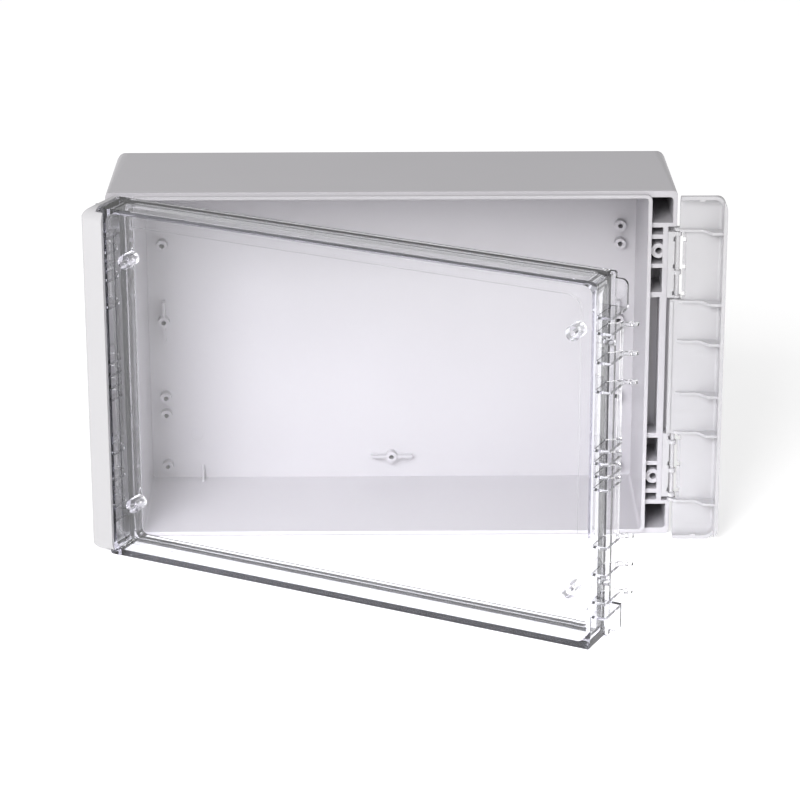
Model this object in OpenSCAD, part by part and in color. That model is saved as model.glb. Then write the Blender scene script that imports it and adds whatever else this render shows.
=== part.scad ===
// Snap-strip wall box: a moulded housing, a clear tray lid with its gasket,
// and a closing strip with two hinge leaves and two pins at each end.
// Millimetres, +Z up, the opening faces -Y. Origin: centre of the four wall
// screws on the rear face.

/* [Housing] */
// outer length along X
body_w = 271; // [262:1:280]
// outer height along Z
body_h = 175.5; // [172:0.5:180]
// depth from the front rim to the rear face
body_d = 73.5; // [64:0.5:84]
// top and bottom wall
wall = 3.2; // [2.8:0.1:3.5]
// rear wall
rear_wall = 2.9; // [2.4:0.1:3.6]
// radius of the long edges round the rear face
rear_r = 6; // [3:0.5:9]
// radius of the four corners at the front
corner_r = 2.2; // [1:0.1:3]
// radius of the four corners at the rear
corner_rear_r = 7; // [5:0.5:8]
// wall between the wet side bays and the sealed room
seal_t = 1.8; // [1.5:0.1:2]
// from the outer end face to the seal wall
bay_w = 12.1; // [11.8:0.1:12.6]
// outer end wall at the corners
end_t = 2.0; // [1.6:0.1:2.4]
// sealing tongue on the top and bottom walls
tongue_t = 1.6; // [1.3:0.1:1.7]
// sealing tongue standing in front of the rim
tongue_h = 2.0; // [1.5:0.1:2.4]

/* [Side bays] */
// clear width of the bays beside the hinges
bay_in = 5.6; // [5.2:0.1:6]
// clear width of the long middle bay
mid_in = 4.7; // [4:0.1:5.2]
// depth of the long middle bay
mid_bay_d = 12; // [9:0.5:16]
// depth of the bay beside it
small_bay_d = 22; // [16:0.5:28]
// floor under the shallow bays
floor_t = 2.2; // [1.8:0.1:3]
// depth of the step the strip turns in
step_d = 4.5; // [4.4:0.1:6]
// width of that step
step_w = 4.1; // [3.9:0.1:4.2]
// end of that step below the top face
step_end = 17.75; // [17:0.05:17.85]
// rounded corner inside the corner bays
bay_r = 1.8; // [1:0.1:2.2]
// corner bay edge below the top face
bay_z0 = 15.85; // [15.7:0.05:16]
// edges of the slot beside it
bay_z1 = [18.15, 21.65]; // positions
// edges of the screw bay
bay_z2 = [23.85, 36.25]; // positions
// edges of the shallow bay
bay_z3 = [38.35, 50.45]; // positions
// edge of the long middle bay
bay_z4 = 53.05; // [52.9:0.05:53.3]

/* [Wall screws] */
// screw channel bore
screw_d = 3.2; // [2.8:0.1:3.8]
// screw channel outside
screw_od = 7.3; // [6.8:0.1:7.6]
// screws below the top face
screw_down = 30.05; // [29.6:0.05:30.5]
// screw axis to the outer end face
screw_in = 8.4; // [8.2:0.1:8.6]
// front of the screw channel behind the rim
screw_y = 1; // [0.5:0.1:2]

/* [Board bosses] */
// boss outside
boss_d = 5.6; // [5:0.1:6.4]
// pilot hole
pilot_d = 2.4; // [2:0.1:2.8]
// boss height
boss_h = 4.1; // [3:0.1:6]
// pilot hole depth
pilot_l = 5.9; // [5:0.1:6]
// distance of the outer columns from the middle
boss_x = 113.7; // [108:0.1:116]
// first row above and below the middle
boss_z1 = 40.3; // [36:0.1:42]
// second row
boss_z2 = 49.6; // [48:0.1:52]
// third row below the top face
boss_down3 = 10.35; // [9:0.05:14]
// middle bosses below the top face
boss_down4 = 15.15; // [12:0.05:20]
// web on the middle bosses, tip to boss centre
web_l = 10.5; // [6:0.5:14]
// web thickness
web_t = 1.5; // [1:0.1:2]
// gusset at the foot of the rear wall, from the middle
gusset_x = 95.8; // [90:0.1:100]
// gusset leg on each wall
gusset_l = 7; // [4:0.5:9]
// ejector witness from the middle
witness_x = 98.7; // [94:0.1:102]
// ejector witness below the middle
witness_z = 61.3; // [58:0.1:66]
// ejector witness diameter
witness_d = 6; // [4:0.1:7]

/* [Lid] */
// lid tray depth in front of the rim
lid_d = 20; // [19.5:0.1:21]
// top of the lid below the top face
lid_low = 0.35; // [0.35:0.05:0.9]
// end face of the lid to the end face of the housing
lid_in = 9.2; // [9:0.1:9.4]
// lid front panel
panel_t = 2.5; // [2:0.1:3]
// lid side walls
lid_t = 2.6; // [2.2:0.1:3]
// gap from rim to lid
rim_gap = 0.3; // [0.2:0.05:0.5]
// clearance each side of the tongue
groove_c = 0.45; // [0.4:0.05:0.5]
// bottom of the gasket groove in front of the rim
groove_d = 4.8; // [4.6:0.1:5.2]
// height of the thick rim round the tray
lid_rim = 6.2; // [6:0.1:7]
// thick rim inside face to the tongue
lid_lip = 1.3; // [1:0.1:1.6]
// sunk field on the front, depth
field_d = 0.6; // [0.3:0.1:0.8]
// sunk field margin
field_m = 7.2; // [6.6:0.1:9]
// lens stud outside
stud_d = 7; // [5:0.1:8]
// lens stud hole
stud_hole = 2.5; // [2:0.1:3]
// lens stud length
stud_l = 8; // [5:0.5:10]

/* [Lid claws] */
// claw plate thickness
claw_t = 1.4; // [1:0.1:1.5]
// claws that reach the pins, below the top face
claw_down = [50.85, 37.35, 23.75]; // positions
// heights of the short middle plates
mid_z = [3.1, 9.3]; // positions
// corner plate below the top face
flag_down = 16.55; // [16.2:0.05:16.7]
// top of the corner flag below the top face
flag_top_down = 3.35; // [3.35:0.05:4.5]
// locating peg below the top face
stub_down = 30.45; // [29.8:0.05:31]
// peg diameter
stub_d = 3; // [2.4:0.1:3.4]
// peg length
stub_l = 5; // [3:0.5:6]

/* [Closing strips] */
// strip wall thickness
strip_t = 1.8; // [1.5:0.1:2]
// top of the strip below the top face
strip_low = 0.55; // [0.45:0.05:0.9]
// width of the flange that laps the lid
flange_w = 11.3; // [10.6:0.1:12]
// air between the flange and the lid
snap_gap = 0.2; // [0.15:0.05:0.3]
// rounding of the four strip corners
strip_r = 6.5; // [4:0.5:8]
// rib thickness
rib_t = 1.4; // [1:0.1:1.4]
// ribs below the top face
rib_down = [74.45, 54.25, 18.75]; // positions
// rib height near the hinge
rib_low = 1.7; // [1.2:0.1:2]
// rib height under the flange
rib_high = 6.9; // [6:0.1:7]
// thin skin left outside the hinge
skin_t = 0.9; // [0.7:0.05:1.1]
// how far that skin reaches past the window edge
skin_l = 1.4; // [1:0.1:1.5]
// bead along the free rear edge
bead_t = 0.6; // [0.4:0.05:0.65]
// bead width
bead_w = 1.7; // [1.2:0.1:2]
// catch nose on the end walls, length
nose_l = 2.6; // [2:0.1:3.4]
// catch nose height
nose_h = 0.8; // [0.5:0.1:0.9]

/* [Hinges] */
// pin diameter
pin_d = 2.0; // [1.6:0.1:2.2]
// pin axis outside the end face
pin_out = 0.7; // [0.6:0.05:0.8]
// pin axis behind the rim
pin_back = 0.15; // [0.1:0.05:0.3]
// running clearance on radius
run_c = 0.06; // [0.03:0.01:0.08]
// knuckle radius
knuckle_r = 1.9; // [1.7:0.05:2]
// leaf thickness
leaf_t = 1.2; // [1:0.05:1.2]
// leaf end nearest the middle, below the top face
leaf_down0 = 53.05; // [52.95:0.05:53.15]
// leaf end nearest the corner
leaf_down1 = 20.05; // [19.95:0.05:20.25]
// upper knuckles below the top face, and their lengths
knuckles_up_at = [[21.05, 2.0], [40.35, 2.0], [52.45, 1.2]]; // positions
// lower knuckles above the bottom face, and their lengths
knuckles_low_at = [[21.05, 2.0], [33.65, 2.0], [48.35, 2.0]]; // positions

/* [Pose] */
// how far the lid stands open
lid_open = 27; // [0:1:90]
// how far the right strip stands open
strip_open = 90; // [0:1:110]

/* [Hidden] */
$fn = 48;
hx = body_w / 2;
hz = body_h / 2;
seal_x = hx - bay_w;            // outer face of the seal wall
room_x = seal_x - seal_t;       // inner face of the seal wall
room_z = hz - wall;
tong_z = room_z + tongue_t;
rail_x = hx - step_w;           // outer face of the step
pin_x = hx + pin_out;
pin_y = pin_back;
pin_r = pin_d / 2;
lid_x = hx - lid_in;
lid_z = hz - lid_low;
side_in = hx - strip_t;         // inner face of the strip's side wall
strip_z = hz - strip_low;
step_z = hz - step_end;
screw_z = hz - screw_down;
boss_z3 = hz - boss_down3;
boss_z4 = hz - boss_down4;
claw_z = [for (d = claw_down) hz - d];
flag_z = hz - flag_down;
flag_top = hz - flag_top_down;
stub_z = hz - stub_down;
rib_z = [for (d = rib_down) hz - d];
leaf_z0 = hz - leaf_down0;
leaf_z1 = hz - leaf_down1;
stud_z = hz - 26.15;
strip_y = -lid_d - snap_gap - strip_t;
core_in = 4.5;                  // end face to the cored space
back_free = 3.6;                // strip's middle part behind the rim
window_y = -3.5;                // strip's edge beside the hinges
nose_y = strip_y + 11.85;        // catch noses on the strip's end walls
claw_x = side_in - 0.4;         // outer edge of the claw plates
claw_r = pin_r + 1.05;          // claw round the pin
rail_in = claw_x - 3.3;         // rails between the plates
rail_out = claw_x - 1.7;
plate_y = -7;                   // rear edge of the plates at the lid
flag_r = 3;                     // corner of the flag
knuckles_up = [for (k = knuckles_up_at) [hz - k[0], k[1]]];
knuckles_low = [for (k = knuckles_low_at) [hz - k[0], k[1]]];

GREY = [0.80, 0.79, 0.81];
GREY2 = [0.83, 0.82, 0.84];
CLEAR = [0.80, 0.81, 0.88, 0.35];
DARK = [0.27, 0.27, 0.29];

// ---------- helpers ----------
// rim plane to the shared frame
module place() translate([0, -body_d, 0]) children();
// extrude an (X, Z) profile along Y
module ext_y(y0, y1) translate([0, y1, 0]) rotate([90, 0, 0]) linear_extrude(y1 - y0) children();
// extrude a (Y, Z) profile along X
module ext_x(x0, x1) translate([x0, 0, 0]) rotate([90, 0, 90]) linear_extrude(x1 - x0) children();
// rounded rectangle about the origin
module rrect(w, h, r) {
    square([w - 2 * r, h], center = true);
    square([w, h - 2 * r], center = true);
    for (i = [-1, 1], j = [-1, 1]) translate([i * (w / 2 - r), j * (h / 2 - r)]) circle(r);
}
// box from corner to corner
module box(a, b) translate(a) cube([b[0] - a[0], b[1] - a[1], b[2] - a[2]]);
module both_x() { children(); mirror([1, 0, 0]) children(); }
module both_z() { children(); mirror([0, 0, 1]) children(); }
module pin_axis(z0, z1, r) translate([pin_x, pin_y, z0]) cylinder(r = r, h = z1 - z0);
// turn about the right or the left pin axis
module turn_right(a) translate([pin_x, pin_y, 0]) rotate([0, 0, a]) translate([-pin_x, -pin_y, 0]) children();
module turn_left(a) translate([-pin_x, pin_y, 0]) rotate([0, 0, a]) translate([pin_x, -pin_y, 0]) children();

// ---------- housing ----------
module plan_2d(w, d, r) {
    translate([-w / 2, 0]) square([w, d - r]);
    translate([-w / 2 + r, 0]) square([w - 2 * r, d]);
    for (i = [-1, 1]) translate([i * (w / 2 - r), d - r]) circle(r);
}
// corners rounder towards the rear: cones inside the two faces they touch
module corner_blend() {
    slope = (corner_rear_r - corner_r) / body_d;
    y0 = -corner_r / slope;
    tilt = atan(sqrt(2) * slope);
    len = (body_d - y0 + 12) / cos(tilt);
    translate([0, 0, -hz]) linear_extrude(body_h) polygon([[-hx + corner_r, 0], [hx - corner_r, 0],
        [hx - corner_rear_r, body_d], [-hx + corner_rear_r, body_d]]);
    ext_x(-hx, hx) polygon([[0, -hz + corner_r], [0, hz - corner_r], [body_d, hz - corner_rear_r], [body_d, -hz + corner_rear_r]]);
    both_x() both_z() translate([hx, y0, hz]) rotate([0, -45, 0]) rotate([0, 0, tilt])
        rotate([-90, 0, 0]) cylinder(r1 = 0, r2 = 1.003 * len * tan(asin(sin(tilt) / sqrt(2))), h = len, $fn = 96);
}
module housing_block() {
    intersection() {
        corner_blend();
        translate([0, 0, -hz]) linear_extrude(body_h) plan_2d(body_w, body_d, rear_r);
        ext_x(-hx, hx) section_2d(body_h, body_d, rear_r);
    }
}
module section_2d(h, d, r) {
    translate([0, -h / 2]) square([d - r, h]);
    translate([0, -h / 2 + r]) square([d, h - 2 * r]);
    for (j = [-1, 1]) translate([d - r, j * (h / 2 - r)]) circle(r);
}
// one bay opening, from the seal wall outwards
module bay(z0, z1, w, d = 0) box([seal_x, -1, z0], [seal_x + w, d > 0 ? d : body_d - rear_wall, z1]);
module bays() {
    both_x() {
        both_z() {
            ext_y(-1, body_d - rear_r) corner_bay_2d();
            bay(hz - bay_z1[1], hz - bay_z1[0], bay_in);
            difference() {
                bay(hz - bay_z2[1], hz - bay_z2[0], bay_in);
                translate([hx - screw_in, screw_y, screw_z]) rotate([-90, 0, 0]) cylinder(d = screw_od, h = body_d);
            }
            bay(hz - bay_z3[1], hz - bay_z3[0], bay_in, small_bay_d);
            core(hz - bay_z3[1], hz - bay_z3[0], small_bay_d);
        }
        bay(bay_z4 - hz, hz - bay_z4, mid_in, mid_bay_d);
        core(bay_z4 - hz, hz - bay_z4, mid_bay_d);
    }
}
module corner_bay_2d() {
    x1 = hx - end_t; z0 = hz - bay_z0;
    translate([seal_x, z0]) square([x1 - seal_x - bay_r, room_z - z0]);
    translate([seal_x, z0]) square([x1 - seal_x, room_z - z0 - bay_r]);
    translate([x1 - bay_r, room_z - bay_r]) circle(bay_r);
}
// space behind a shallow bay, open at the rear face
module core(z0, z1, d) box([seal_x, d + floor_t, z0], [hx - core_in, body_d + 1, z1]);
module board_boss(x, z) translate([x, body_d - rear_wall - boss_h, z]) rotate([-90, 0, 0]) cylinder(d = boss_d, h = boss_h + 0.5);
module pilot(x, z) translate([x, body_d - rear_wall - boss_h - 1, z]) rotate([-90, 0, 0]) cylinder(d = pilot_d, h = pilot_l + 1);
boss_at = concat([for (i = [-1, 1], j = [-1, 1], z = [boss_z1, boss_z3]) [i * boss_x, j * z]],
    [for (i = [-1, 1]) [i * boss_x, i * boss_z2]], [for (i = [-1, 1]) [i * boss_x, 0]],
    [for (j = [-1, 1]) [0, j * boss_z4]]);
module housing_base() {
    color(GREY) place() difference() {
        union() {
            difference() {
                union() {
                    housing_block();
                    // sealing tongue
                    ext_y(-tongue_h, 1) difference() {
                        rrect(2 * seal_x, 2 * tong_z, 3);
                        rrect(2 * room_x, 2 * room_z, 1.5);
                    }
                }
                // sealed room
                ext_y(-tongue_h - 1, body_d - rear_wall) rrect(2 * room_x, 2 * room_z, 1.5);
                bays();
                // step the strips turn in
                both_x() box([rail_x, -1, -step_z], [hx + 1, step_d, step_z]);
            }
            // board bosses and their webs
            for (p = boss_at) board_boss(p[0], p[1]);
            for (i = [-1, 1]) box([i * boss_x - web_t / 2, body_d - rear_wall - boss_h + 0.6, -web_l], [i * boss_x + web_t / 2, body_d - rear_wall + 0.3, web_l]);
            // gusset between the rear wall and the bottom wall
            ext_x(-gusset_x - 0.6, -gusset_x + 0.6) polygon([[body_d - rear_wall + 0.5, -room_z - 0.5], [body_d - rear_wall - gusset_l, -room_z - 0.5],
                [body_d - rear_wall - gusset_l, -room_z], [body_d - rear_wall, gusset_l - room_z], [body_d - rear_wall + 0.5, gusset_l - room_z]]);
            for (j = [-1, 1]) box([-web_l, body_d - rear_wall - boss_h + 0.6, j * boss_z4 - web_t / 2], [web_l, body_d - rear_wall + 0.3, j * boss_z4 + web_t / 2]);
        }
        for (p = boss_at) pilot(p[0], p[1]);
        // ejector witness on the rear wall
        translate([-witness_x, body_d - rear_wall - 1, -witness_z]) rotate([-90, 0, 0]) cylinder(d = witness_d, h = 1.2);
        both_x() both_z() translate([hx - screw_in, screw_y - 1, screw_z]) rotate([-90, 0, 0]) cylinder(d = screw_d, h = body_d);
    }
}

// ---------- lid ----------
// plate with its finger and the claw on the pin, right end, closed
module claw_2d() {
    difference() {
        union() {
            polygon([[lid_x - 0.5, -lid_d + 0.6], [claw_x, -lid_d + 0.6], [claw_x, -3.2], [claw_x + 0.6, -2.95],
                [pin_x - 0.6, -2.6], [pin_x + 0.9, -1.6], [pin_x + 0.9, -1.3], [rail_in, -1.3], [rail_in, -3.4], [lid_x - 0.5, plate_y]]);
            translate([pin_x, pin_y]) circle(claw_r);
        }
        translate([pin_x, pin_y]) circle(pin_r + run_c);
        // open behind the pin
        translate([pin_x - pin_r - run_c, pin_y]) square([2 * (pin_r + run_c), 5]);
        translate([pin_x - 5, pin_y + 0.75]) square([10, 5]);
    }
}
module plate_2d() polygon([[lid_x - 0.5, -lid_d + 0.6], [claw_x, -lid_d + 0.6], [claw_x, -4.2], [rail_out, -2.8],
    [rail_out, -1.6], [rail_in, -1.6], [rail_in, -3.4], [lid_x - 0.5, plate_y]]);
module slab(z) translate([0, 0, z - claw_t / 2]) linear_extrude(claw_t) children();
module lid_end() {
    both_z() {
        for (z = claw_z) slab(z) claw_2d();
        for (z = mid_z) slab(z) plate_2d();
        slab(flag_z) translate([lid_x - 0.5, -lid_d + 0.6]) square([claw_x - lid_x + 0.5, lid_d - 1.2]);
        // corner flag over the corner bay
        ext_y(-2.1, -0.6) {
            translate([lid_x - 0.5, flag_z]) square([claw_x - lid_x + 0.5 - flag_r, flag_top - flag_z]);
            translate([lid_x - 0.5, flag_z]) square([claw_x - lid_x + 0.5, flag_top - flag_r - flag_z]);
            translate([claw_x - flag_r, flag_top - flag_r]) circle(flag_r);
        }
        // locating peg over the wall screw
        translate([lid_x - 0.5, -10, stub_z]) rotate([0, 90, 0]) cylinder(d = stub_d, h = stub_l + 0.5);
    }
    // rails joining the plates
    box([rail_out - 0.8, -3.4, -claw_z[2]], [rail_out, -1.6, claw_z[2]]);
    box([rail_in, -3.4, -claw_z[0]], [rail_out, -2.2, claw_z[0]]);
}
module lid_shell() {
    difference() {
        union() {
            ext_y(-lid_d, -rim_gap) rrect(2 * lid_x, 2 * lid_z, 1.2);
            // rim lip on the end walls
            ext_y(-2.4, -rim_gap) rrect(2 * lid_x + 2.8, 2 * lid_z, 1);
        }
        ext_y(-lid_d + panel_t, -lid_rim) rrect(2 * (lid_x - lid_t), 2 * (lid_z - lid_t), 4.5);
        ext_y(-lid_rim - 1, 1) rrect(2 * (room_x - groove_c - lid_lip), 2 * (room_z - groove_c - lid_lip), 3.5);
        ext_y(-groove_d, 1) groove_2d();
        ext_y(-lid_d - 1, -lid_d + field_d) rrect(2 * (lid_x - field_m), 2 * (lid_z - field_m), 6.5);
    }
}
module groove_2d() difference() {
    rrect(2 * (seal_x + groove_c), 2 * (tong_z + groove_c), 3.3);
    rrect(2 * (room_x - groove_c), 2 * (room_z - groove_c), 1.6);
}
module stud_sites() for (i = [-1, 1], j = [-1, 1]) translate([i * (lid_x - 11.8), 0, j * stud_z]) children();
module lid_clear() {
    color(CLEAR) place() turn_left(-lid_open) difference() {
        union() {
            lid_shell();
            both_x() lid_end();
            stud_sites() translate([0, -lid_d + panel_t - 0.3, 0]) rotate([-90, 0, 0]) cylinder(d = stud_d, h = stud_l + 0.3);
        }
        stud_sites() translate([0, -lid_d + panel_t + 0.4, 0]) rotate([-90, 0, 0]) cylinder(d = stud_hole, h = stud_l + 1);
    }
}
module lid_gasket() {
    color(DARK) place() turn_left(-lid_open) ext_y(-groove_d, -tongue_h - 0.3) groove_2d();
}

// ---------- closing strip, right end, closed ----------
module strip_solid(g, xi, yb) {
    x1 = hx - g; y0 = strip_y + g; z1 = strip_z - g; r = strip_r - g;
    intersection() {
        translate([0, 0, -z1]) linear_extrude(2 * z1) {
            translate([xi, y0]) square([x1 - xi - 1.5, yb - y0]);
            translate([xi, y0 + 1.5]) square([x1 - xi, yb - y0 - 1.5]);
            translate([x1 - 1.5, y0 + 1.5]) circle(1.5);
        }
        ext_x(xi, x1) {
            translate([y0 + r, -z1]) square([yb - y0 - r, 2 * z1]);
            translate([y0, -z1 + r]) square([yb - y0, 2 * (z1 - r)]);
            for (j = [-1, 1]) translate([y0 + r, j * (z1 - r)]) circle(r);
        }
        ext_y(y0, yb) {
            translate([xi, -z1]) square([x1 - xi - r, 2 * z1]);
            translate([xi, -z1 + r]) square([x1 - xi, 2 * (z1 - r)]);
            for (j = [-1, 1]) translate([x1 - r, j * (z1 - r)]) circle(r);
        }
    }
}
// rib outline: low by the hinge, a wave, high under the flange
function wave(t) = (1 - cos(180 * t)) / 2;
module rib_2d() {
    yh = -lid_d + 4; yl = -10.6; n = 12;
    polygon(concat(
        [[side_in + 0.4, -0.25], [side_in + 0.4, strip_y + 0.6], [side_in - rib_high, strip_y + 0.6], [side_in - rib_high, yh - 0.4]],
        [for (i = [0:n]) [side_in - rib_high + (rib_high - rib_low) * wave(i / n), yh + (yl - yh) * i / n]],
        [[side_in - rib_low + 0.2, -2.2], [side_in - 0.6, -0.25]]));
}
module strip_closed() {
    difference() {
        union() {
            difference() {
                strip_solid(0, hx - flange_w, back_free);
                strip_solid(strip_t, hx - flange_w - 3, back_free + 3);
                // open towards the lid
                box([hx - flange_w - 1, strip_y + strip_t, -hz], [lid_x + 1.9, back_free + 1, hz]);
                // rear edge: short at the corners
                both_z() box([hx - flange_w - 1, -0.25, rib_z[1] + rib_t / 2], [hx + 1, back_free + 1, hz]);
            }
            both_z() for (z = rib_z) translate([0, 0, z - rib_t / 2]) linear_extrude(rib_t) rib_2d();
            // bead along the free rear edge
            box([side_in - bead_t, back_free - bead_w, -rib_z[1]], [side_in + 0.4, back_free, rib_z[1]]);
            // catch noses on the end walls
            both_z() {
                box([lid_x + 1.9, nose_y - nose_l / 2, strip_z - strip_t - nose_h], [lid_x + 3.3, nose_y + nose_l / 2, strip_z - strip_t + 0.3]);
                box([lid_x + 1.9, nose_y - nose_l / 4, strip_z - strip_t - nose_h / 2], [side_in + 0.3, nose_y + nose_l / 4, strip_z - strip_t + 0.3]);
            }
            // lugs on the pins
            both_z() for (z = [rib_z[1], rib_z[2]]) pin_axis(z - rib_t / 2, z + rib_t / 2, knuckle_r + 0.2);
        }
        // windows for the leaves and the claws, the outer skin left between the claws
        both_z() difference() {
            box([side_in - 3, window_y, rib_z[1] + rib_t / 2], [hx + 3, back_free + 1, rib_z[2] - rib_t / 2]);
            difference() {
                box([hx - skin_t, window_y - 1, -hz], [hx + 4, window_y + skin_l, hz]);
                for (z = claw_z) box([hx - 3, window_y - 2, z - claw_t / 2 - 0.4], [hx + 5, 5, z + claw_t / 2 + 0.4]);
            }
        }
        both_z() pin_axis(rib_z[1] - rib_t, rib_z[2] + rib_t, pin_r + run_c);
    }
}
module strip_right() color(GREY2) place() turn_right(strip_open) strip_closed();
module strip_left() color(GREY2) place() turn_left(-lid_open) mirror([1, 0, 0]) strip_closed();

// ---------- hinge leaf and pin, right end, upper ----------
module leaf(kn) {
    difference() {
        union() {
            // plate in front, notched for the claws, foot against the rail
            difference() {
                box([rail_x, -leaf_t + 0.2, leaf_z0], [hx - 0.9, 0.3, leaf_z1]);
                for (z = claw_z) box([hx - 1.6, -2, z - claw_t / 2 - 0.4], [hx, 1, z + claw_t / 2 + 0.4]);
            }
            box([rail_x, -leaf_t + 0.2, leaf_z0], [rail_x + 1.2, step_d, leaf_z1]);
            for (k = kn) {
                pin_axis(k[0] - k[1] / 2, k[0] + k[1] / 2, knuckle_r);
                box([hx - 1.6, -leaf_t + 0.2, k[0] - k[1] / 2], [pin_x, 0.9, k[0] + k[1] / 2]);
            }
        }
        pin_axis(leaf_z0 - 1, leaf_z1 + 1, pin_r);
    }
}
module pin_body() pin_axis(rib_z[1] - rib_t / 2, rib_z[2] + rib_t / 2, pin_r);
module leaf_right_upper() color(GREY2) place() leaf(knuckles_up);
module leaf_right_lower() color(GREY2) place() mirror([0, 0, 1]) leaf(knuckles_low);
module leaf_left_upper() color(GREY2) place() mirror([1, 0, 0]) leaf(knuckles_up);
module leaf_left_lower() color(GREY2) place() mirror([1, 0, 0]) mirror([0, 0, 1]) leaf(knuckles_low);
module pin_right_upper() color(GREY) place() pin_body();
module pin_right_lower() color(GREY) place() mirror([0, 0, 1]) pin_body();
module pin_left_upper() color(GREY) place() mirror([1, 0, 0]) pin_body();
module pin_left_lower() color(GREY) place() mirror([1, 0, 0]) mirror([0, 0, 1]) pin_body();

housing_base();
lid_clear();
lid_gasket();
strip_left();
strip_right();
leaf_left_upper();
leaf_left_lower();
leaf_right_upper();
leaf_right_lower();
pin_left_upper();
pin_left_lower();
pin_right_upper();
pin_right_lower();
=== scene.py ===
import math

import bpy
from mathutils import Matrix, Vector


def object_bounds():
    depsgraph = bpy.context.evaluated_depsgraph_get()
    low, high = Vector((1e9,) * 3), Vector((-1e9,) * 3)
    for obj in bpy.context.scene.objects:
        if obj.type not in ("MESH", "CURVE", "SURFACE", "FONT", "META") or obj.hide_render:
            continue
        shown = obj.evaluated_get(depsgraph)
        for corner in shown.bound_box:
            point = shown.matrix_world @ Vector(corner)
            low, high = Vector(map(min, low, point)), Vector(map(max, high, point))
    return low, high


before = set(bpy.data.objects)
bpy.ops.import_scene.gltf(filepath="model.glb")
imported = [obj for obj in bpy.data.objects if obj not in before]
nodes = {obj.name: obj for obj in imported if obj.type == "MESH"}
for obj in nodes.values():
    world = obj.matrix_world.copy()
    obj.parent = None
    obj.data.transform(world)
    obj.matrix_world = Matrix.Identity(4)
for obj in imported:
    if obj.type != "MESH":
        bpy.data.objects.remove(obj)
cad_low, cad_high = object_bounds()

# The camera stands well back from the box and looks down on it by about
# twenty degrees, with a long lens, so that the box keeps its straight lines.
camera = bpy.data.objects.new("camera", bpy.data.cameras.new("camera"))
bpy.context.scene.collection.objects.link(camera)
camera.location = (-0.00352, -1.5585, 0.53273)
camera.rotation_euler = [math.radians(a) for a in (69.68, 0.1407, -0.3321)]
camera.data.lens = 147.31
camera.data.sensor_width = 36
camera.data.clip_end = 50
bpy.context.scene.camera = camera


# Housing: a deep box moulded in light grey polycarbonate with a fine spark
# texture outside. It comes out of the mould in one piece and is not painted.
# The material eases its edges, and the mesh stays as it is.
def dressed(name, material):
    """The CAD piece keeps its mesh and gets the finish of the real one."""
    for slot in nodes[name].material_slots:
        slot.material = material


SPARK_SCALE = 2600
SPARK_DEPTH = 0.00003
FLOW_SCALE = 18
FLOW_SHADE = 0.975
GLOSS_SPREAD = 0.05


def moulded(name, colour, roughness, grain, edge):
    """Grey moulded plastic: a fine grain in the gloss and in the surface, and eased edges."""
    material = bpy.data.materials.new(name)
    material.use_nodes = True
    tree = material.node_tree
    shader = tree.nodes["Principled BSDF"]
    place = tree.nodes.new("ShaderNodeTexCoord")
    fine = tree.nodes.new("ShaderNodeTexNoise")
    fine.inputs["Scale"].default_value = SPARK_SCALE
    fine.inputs["Detail"].default_value = 3
    broad = tree.nodes.new("ShaderNodeTexNoise")
    broad.inputs["Scale"].default_value = FLOW_SCALE
    broad.inputs["Detail"].default_value = 4
    tint = tree.nodes.new("ShaderNodeValToRGB")
    tint.color_ramp.elements[0].position = 0.3
    tint.color_ramp.elements[0].color = [c * FLOW_SHADE for c in colour] + [1]
    tint.color_ramp.elements[1].position = 0.7
    tint.color_ramp.elements[1].color = list(colour) + [1]
    gloss = tree.nodes.new("ShaderNodeMapRange")
    gloss.inputs["To Min"].default_value = roughness - GLOSS_SPREAD
    gloss.inputs["To Max"].default_value = roughness + GLOSS_SPREAD
    bump = tree.nodes.new("ShaderNodeBump")
    bump.inputs["Strength"].default_value = grain
    bump.inputs["Distance"].default_value = SPARK_DEPTH
    eased = tree.nodes.new("ShaderNodeBevel")
    eased.inputs["Radius"].default_value = edge
    link = tree.links.new
    link(place.outputs["Object"], fine.inputs["Vector"])
    link(place.outputs["Object"], broad.inputs["Vector"])
    link(broad.outputs["Fac"], tint.inputs["Fac"])
    link(tint.outputs["Color"], shader.inputs["Base Color"])
    link(fine.outputs["Fac"], gloss.inputs["Value"])
    link(gloss.outputs["Result"], shader.inputs["Roughness"])
    link(fine.outputs["Fac"], bump.inputs["Height"])
    link(eased.outputs["Normal"], bump.inputs["Normal"])
    link(bump.outputs["Normal"], shader.inputs["Normal"])
    shader.inputs["IOR"].default_value = 1.58
    return material


housing_grey = moulded("housing grey", (0.53, 0.517, 0.54), 0.34, 0.25, 0.0003)
dressed("housing_base", housing_grey)

# Closing strips, hinge leaves and pins: the same plastic from other moulds,
# a shade lighter. The strips snap on the lid and turn on the pins.
strip_grey = moulded("strip grey", (0.525, 0.518, 0.532), 0.36, 0.15, 0.0002)
dressed("strip_left", strip_grey)
dressed("strip_right", strip_grey)
for name in nodes:
    if name.startswith(("leaf", "pin")):
        dressed(name, strip_grey)


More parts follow.
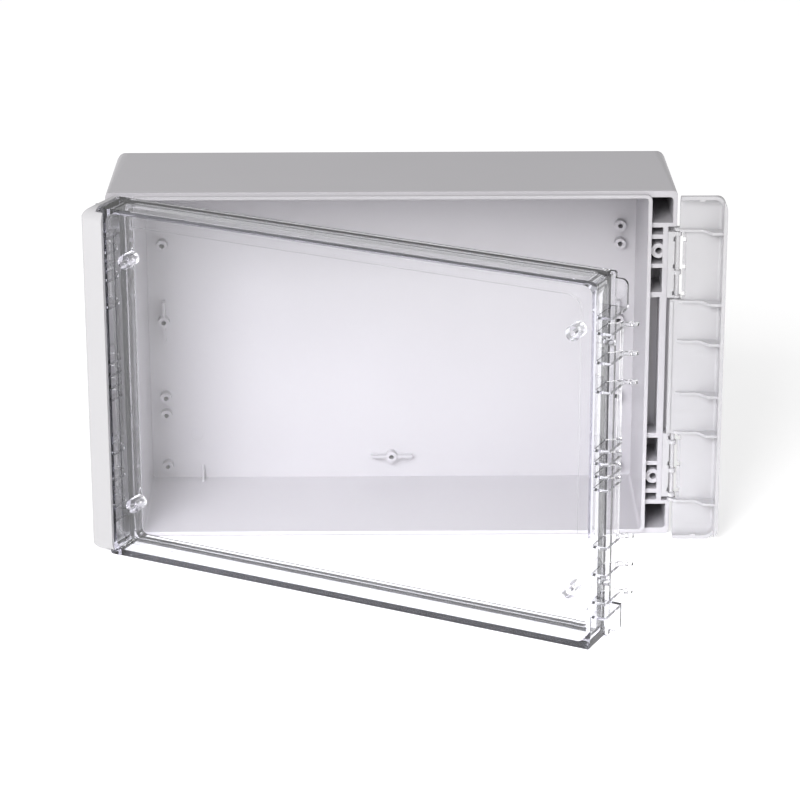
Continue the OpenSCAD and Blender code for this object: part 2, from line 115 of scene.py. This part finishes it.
# Lid: clear polycarbonate, polished on both faces. Thin walls look clear,
# and the long way through an edge shows its grey-violet tint.
clear = bpy.data.materials.new("clear polycarbonate")
clear.use_nodes = True
tree = clear.node_tree
shader = tree.nodes["Principled BSDF"]
shader.inputs["Base Color"].default_value = (1, 1, 1, 1)
shader.inputs["Transmission Weight"].default_value = 1
shader.inputs["Roughness"].default_value = 0.0
shader.inputs["IOR"].default_value = 1.585
through = tree.nodes.new("ShaderNodeBsdfTransparent")
through.inputs["Color"].default_value = (0.93, 0.93, 0.95, 1)
path = tree.nodes.new("ShaderNodeLightPath")
lamps = tree.nodes.new("ShaderNodeMixShader")
tree.links.new(path.outputs["Is Shadow Ray"], lamps.inputs["Fac"])
tree.links.new(shader.outputs["BSDF"], lamps.inputs[1])
tree.links.new(through.outputs["BSDF"], lamps.inputs[2])
tree.links.new(lamps.outputs["Shader"], tree.nodes["Material Output"].inputs["Surface"])
inside = tree.nodes.new("ShaderNodeVolumeAbsorption")
inside.inputs["Color"].default_value = (0.60, 0.60, 0.78, 1)
inside.inputs["Density"].default_value = 25
tree.links.new(inside.outputs["Volume"], tree.nodes["Material Output"].inputs["Volume"])
dressed("lid_clear", clear)

# Gasket: a dark grey foamed seal, poured into the groove of the lid.
foam = bpy.data.materials.new("gasket foam")
foam.use_nodes = True
tree = foam.node_tree
shader = tree.nodes["Principled BSDF"]
place = tree.nodes.new("ShaderNodeTexCoord")
cells = tree.nodes.new("ShaderNodeTexVoronoi")
cells.inputs["Scale"].default_value = 2200
shade = tree.nodes.new("ShaderNodeValToRGB")
shade.color_ramp.elements[0].color = (0.045, 0.045, 0.05, 1)
shade.color_ramp.elements[1].color = (0.085, 0.085, 0.09, 1)
dents = tree.nodes.new("ShaderNodeBump")
dents.inputs["Strength"].default_value = 0.4
dents.inputs["Distance"].default_value = 0.0001
tree.links.new(place.outputs["Object"], cells.inputs["Vector"])
tree.links.new(cells.outputs["Distance"], shade.inputs["Fac"])
tree.links.new(shade.outputs["Color"], shader.inputs["Base Color"])
tree.links.new(cells.outputs["Distance"], dents.inputs["Height"])
tree.links.new(dents.outputs["Normal"], shader.inputs["Normal"])
shader.inputs["Roughness"].default_value = 0.7
dressed("lid_gasket", foam)

# Floor and light: a pale floor under the box, and a soft studio light from
# the front left, above the camera.
bpy.ops.object.select_all(action="DESELECT")
FLOOR_SIZE = 40
bpy.ops.mesh.primitive_plane_add(size=FLOOR_SIZE, location=(0, 0, cad_low[2]))
floor = bpy.context.object
floor.name = "floor"
paper = bpy.data.materials.new("white paper")
paper.use_nodes = True
shader = paper.node_tree.nodes["Principled BSDF"]
shader.inputs["Base Color"].default_value = (0.95, 0.95, 0.95, 1)
shader.inputs["Roughness"].default_value = 0.9
shader.inputs["Emission Color"].default_value = (1, 1, 1, 1)
shader.inputs["Emission Strength"].default_value = 0.42
floor.data.materials.append(paper)

world = bpy.data.worlds.new("studio")
bpy.context.scene.world = world
world.use_nodes = True
world.node_tree.nodes["Background"].inputs["Color"].default_value = (1, 1, 1, 1)
world.node_tree.nodes["Background"].inputs["Strength"].default_value = 0.48
bpy.context.scene.view_settings.view_transform = "Standard"


def softbox(name, place, aim, size, power):
    light = bpy.data.lights.new(name, "AREA")
    light.shape = "RECTANGLE"
    light.size, light.size_y = size
    light.energy = power
    lamp = bpy.data.objects.new(name, light)
    bpy.context.scene.collection.objects.link(lamp)
    lamp.location = place
    lamp.rotation_euler = (Vector(aim) - Vector(place)).to_track_quat("-Z", "Y").to_euler()
    return lamp


KEY_PLACE = (-0.9, -2.2, 1.35)
KEY_SIZE = (1.2, 1.2)
KEY_WATTS = 52
softbox("key", KEY_PLACE, (0, 0, 0), KEY_SIZE, KEY_WATTS)
